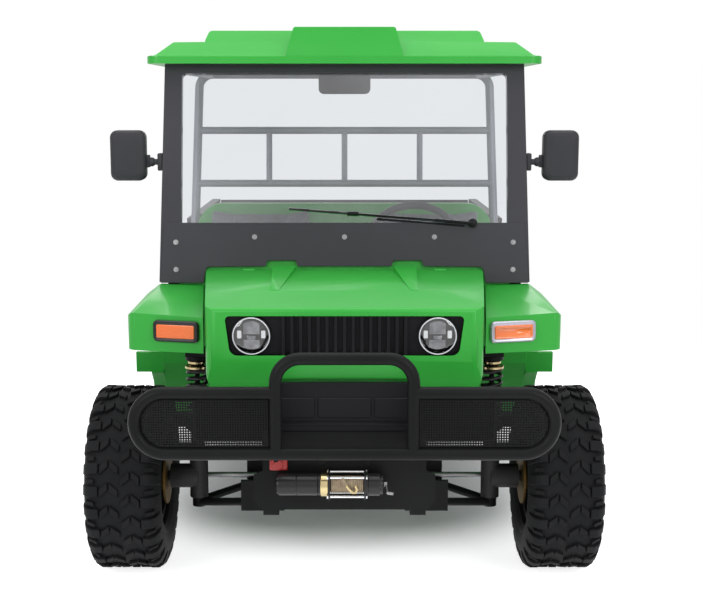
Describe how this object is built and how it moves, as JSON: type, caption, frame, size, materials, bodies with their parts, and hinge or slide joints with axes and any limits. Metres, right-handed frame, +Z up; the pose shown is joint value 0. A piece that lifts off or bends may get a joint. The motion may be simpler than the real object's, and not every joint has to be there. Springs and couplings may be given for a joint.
{
  "type": "electric utility vehicle",
  "caption": "Two-seat electric utility vehicle with moulded body, roof and windscreen, tubular bumper, winch and a tipping cargo bed",
  "frame": {"origin": "on the ground, at the centre of the vehicle's length and width", "axes": "+Z up, the nose faces -Y, +X is the driver's side"},
  "size_m": [1.727, 3.2, 1.879],
  "materials": {
    "body_green": "glossy moulded plastic, bright green",
    "frame_black": "satin black powder coat",
    "screen_black": "satin black paint",
    "cage_grey": "grey powder coat",
    "trim_black": "grained black plastic",
    "glass": "clear laminated glass",
    "lamp_glass": "clear polycarbonate",
    "amber": "amber lens",
    "tyre": "black tread rubber",
    "rim_black": "satin black wheel paint",
    "brake_gold": "zinc-plated and cast",
    "strut_black": "black coil spring and strut",
    "seat_black": "black vinyl",
    "battery_grey": "battery case",
    "axle_black": "painted castings",
    "winch_black": "painted winch"
  },
  "bodies": {
    "chassis": {"chassis_frame": "frame_black", "floor_pan": "trim_black", "cab_front_wall": "body_green", "body_sides": "body_green", "seat_box": "trim_black", "battery_pack": "battery_grey", "seat_cushions": "seat_black", "seat_backs": "seat_black", "rear_bulkhead": "body_green", "front_fenders": "body_green", "signal_lamps": "amber", "front_bumper": "frame_black", "bumper_screens": "frame_black", "winch_plate": "frame_black", "nose_lower_panel": "trim_black", "winch": "winch_black", "windscreen_frame": "screen_black", "windscreen_glass": "glass", "cowl_panel": "trim_black", "cab_frame": "cage_grey", "roof": "body_green", "mirrors": "trim_black", "dashboard": "trim_black", "steering_column": "trim_black", "front_arms": "frame_black", "rear_axle": "axle_black", "rear_springs": "axle_black"},
    "hood": {"hood_shell": "body_green", "grille": "trim_black", "headlamps": "lamp_glass"},
    "steering_wheel": {"steering_wheel": "trim_black"},
    "steering_rack": {"steering_rack": "frame_black"},
    "knuckle_left": {"knuckle_left": "brake_gold", "strut_left": "strut_black"},
    "knuckle_right": {"knuckle_right": "brake_gold", "strut_right": "strut_black"},
    "wheel_front_left": {"tyre_front_left": "tyre", "rim_front_left": "rim_black", "brake_disc_front_left": "brake_gold"},
    "wheel_front_right": {"tyre_front_right": "tyre", "rim_front_right": "rim_black", "brake_disc_front_right": "brake_gold"},
    "wheel_rear_left": {"tyre_rear_left": "tyre", "rim_rear_left": "rim_black"},
    "wheel_rear_right": {"tyre_rear_right": "tyre", "rim_rear_right": "rim_black"},
    "cargo_bed": {"cargo_bed": "trim_black"},
    "tailgate": {"tailgate": "trim_black"}
  },
  "joints": [
    {"name": "hood_hinge", "type": "hinge", "parent": "chassis", "child": "hood", "pos_m": [0, -0.657, 1], "axis": [-1, 0, 0], "range_deg": [0, 50]},
    {"name": "steer_left", "type": "hinge", "parent": "chassis", "child": "knuckle_left", "pos_m": [0.51, -0.96, 0.3175], "axis": [0, 0, 1], "range_deg": [-28, 28]},
    {"name": "steer_right", "type": "hinge", "parent": "chassis", "child": "knuckle_right", "pos_m": [-0.51, -0.96, 0.3175], "axis": [0, 0, 1], "range_deg": [-28.1, 28.1]},
    {"name": "rack_slide", "type": "slide", "parent": "chassis", "child": "steering_rack", "axis": [1, 0, 0], "range_m": [-0.0492, 0.0492]},
    {"name": "steering_wheel_turn", "type": "hinge", "parent": "chassis", "child": "steering_wheel", "pos_m": [0.266, -0.32, 1.085], "axis": [0, 0.8192, 0.5736], "range_deg": [-451, 451]},
    {"name": "bed_tip", "type": "hinge", "parent": "chassis", "child": "cargo_bed", "pos_m": [0, 1.44, 0.72], "axis": [-1, 0, 0], "range_deg": [0, 40]},
    {"name": "tailgate_hinge", "type": "hinge", "parent": "cargo_bed", "child": "tailgate", "pos_m": [0, 1.5875, 0.7775], "axis": [-1, 0, 0], "range_deg": [0, 90]},
    {"name": "spin_front_left", "type": "hinge", "parent": "knuckle_left", "child": "wheel_front_left", "pos_m": [0.7365, -0.96, 0.3175], "axis": [1, 0, 0], "continuous": true},
    {"name": "spin_rear_left", "type": "hinge", "parent": "chassis", "child": "wheel_rear_left", "pos_m": [0.7365, 1.04, 0.3175], "axis": [1, 0, 0], "continuous": true},
    {"name": "spin_front_right", "type": "hinge", "parent": "knuckle_right", "child": "wheel_front_right", "pos_m": [-0.7365, -0.96, 0.3175], "axis": [1, 0, 0], "continuous": true},
    {"name": "spin_rear_right", "type": "hinge", "parent": "chassis", "child": "wheel_rear_right", "pos_m": [-0.7365, 1.04, 0.3175], "axis": [1, 0, 0], "continuous": true}
  ],
  "couplings": [
    {"joint": "steer_right", "follows": "steer_left", "ratio": 1},
    {"joint": "rack_slide", "follows": "steer_left", "m_per_rad": -0.1},
    {"joint": "steering_wheel_turn", "follows": "steer_left", "ratio": 16.071}
  ]
}
